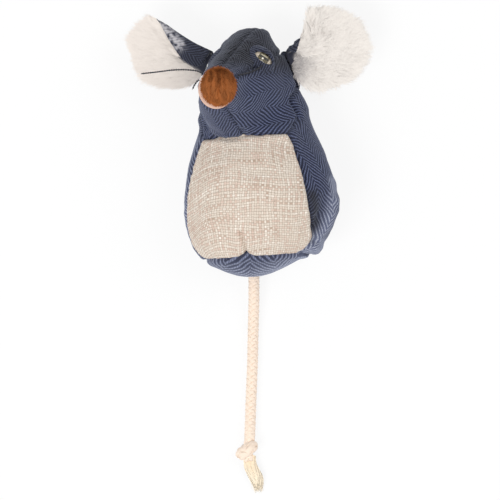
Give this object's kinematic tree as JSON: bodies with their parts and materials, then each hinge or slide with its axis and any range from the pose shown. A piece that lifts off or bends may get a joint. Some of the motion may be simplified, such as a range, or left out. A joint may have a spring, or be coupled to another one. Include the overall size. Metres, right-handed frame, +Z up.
{
  "type": "catnip mouse",
  "caption": "Stuffed tweed cat toy mouse with folded pile-lined ears, a plush nose, moulded eyes and a knotted rope tail, lying on its back.",
  "frame": {"origin": "on the surface that the toy lies on, under the middle of its body, head and ears", "axes": "+Z up from the back to the belly and the nose, +Y from the tail to the crown, +X to the right seen from above"},
  "size_m": [0.102, 0.2144, 0.069],
  "materials": {
    "herringbone_tweed": "woven navy and blue-grey herringbone, soft and matt",
    "linen_weave": "plain weave with slubs, matt",
    "ear_pile": "cream knitted pile",
    "nose_plush": "rust-brown short plush",
    "cotton_rope": "twisted natural cotton",
    "polyester_filling": "white loose fibre",
    "pouch_muslin": "thin open weave",
    "dried_catnip": "dried chopped leaf",
    "eye_dome": "clear moulded dome",
    "eye_iris": "gold with a dark slit, behind the dome",
    "eye_washer": "white moulded",
    "whisker_thread": "waxed black thread"
  },
  "bodies": {
    "stuffed_body": {"base_panel": "herringbone_tweed", "left_side_panel": "herringbone_tweed", "right_side_panel": "herringbone_tweed", "left_forehead_panel": "herringbone_tweed", "right_forehead_panel": "herringbone_tweed", "left_cheek_panel": "herringbone_tweed", "right_cheek_panel": "herringbone_tweed", "belly_panel": "linen_weave", "nose_patch": "nose_plush", "tail_anchor": "cotton_rope", "body_stuffing": "polyester_filling", "head_stuffing": "polyester_filling", "base_wad": "polyester_filling", "catnip_pouch": "pouch_muslin", "catnip_leaf": "dried_catnip", "left_eye_dome": "eye_dome", "right_eye_dome": "eye_dome", "left_eye_iris": "eye_iris", "right_eye_iris": "eye_iris", "left_eye_washer": "eye_washer", "right_eye_washer": "eye_washer", "left_long_whisker": "whisker_thread", "left_short_whisker": "whisker_thread", "right_whisker": "whisker_thread"},
    "left_ear": {"left_ear_back": "herringbone_tweed", "left_ear_pile": "ear_pile"},
    "right_ear": {"right_ear_back": "herringbone_tweed", "right_ear_pile": "ear_pile"},
    "tail_root": {"tail_root": "cotton_rope"},
    "tail": {"tail_rope": "cotton_rope", "tail_knot": "cotton_rope", "tail_fray": "cotton_rope"}
  },
  "joints": [
    {"name": "left_ear_fold", "type": "hinge", "parent": "stuffed_body", "child": "left_ear", "pos_m": [-0.0169, 0.03458, 0.02399], "axis": [0.4695, 0.8829, 0], "range_deg": [-20, 25], "stiffness_Nm_per_rad": 0.01},
    {"name": "right_ear_fold", "type": "hinge", "parent": "stuffed_body", "child": "right_ear", "pos_m": [0.01794, 0.03489, 0.02399], "axis": [0.3584, -0.9336, 0], "range_deg": [-20, 25], "stiffness_Nm_per_rad": 0.01},
    {"name": "tail_lift", "type": "hinge", "parent": "stuffed_body", "child": "tail_root", "pos_m": [0.00271, -0.05945, 0.00861], "axis": [-1, 0, 0], "range_deg": [0, 70]},
    {"name": "tail_swing", "type": "hinge", "parent": "tail_root", "child": "tail", "pos_m": [0.00271, -0.06598, 0.0071], "axis": [0, 0, 1], "range_deg": [-60, 60]}
  ]
}
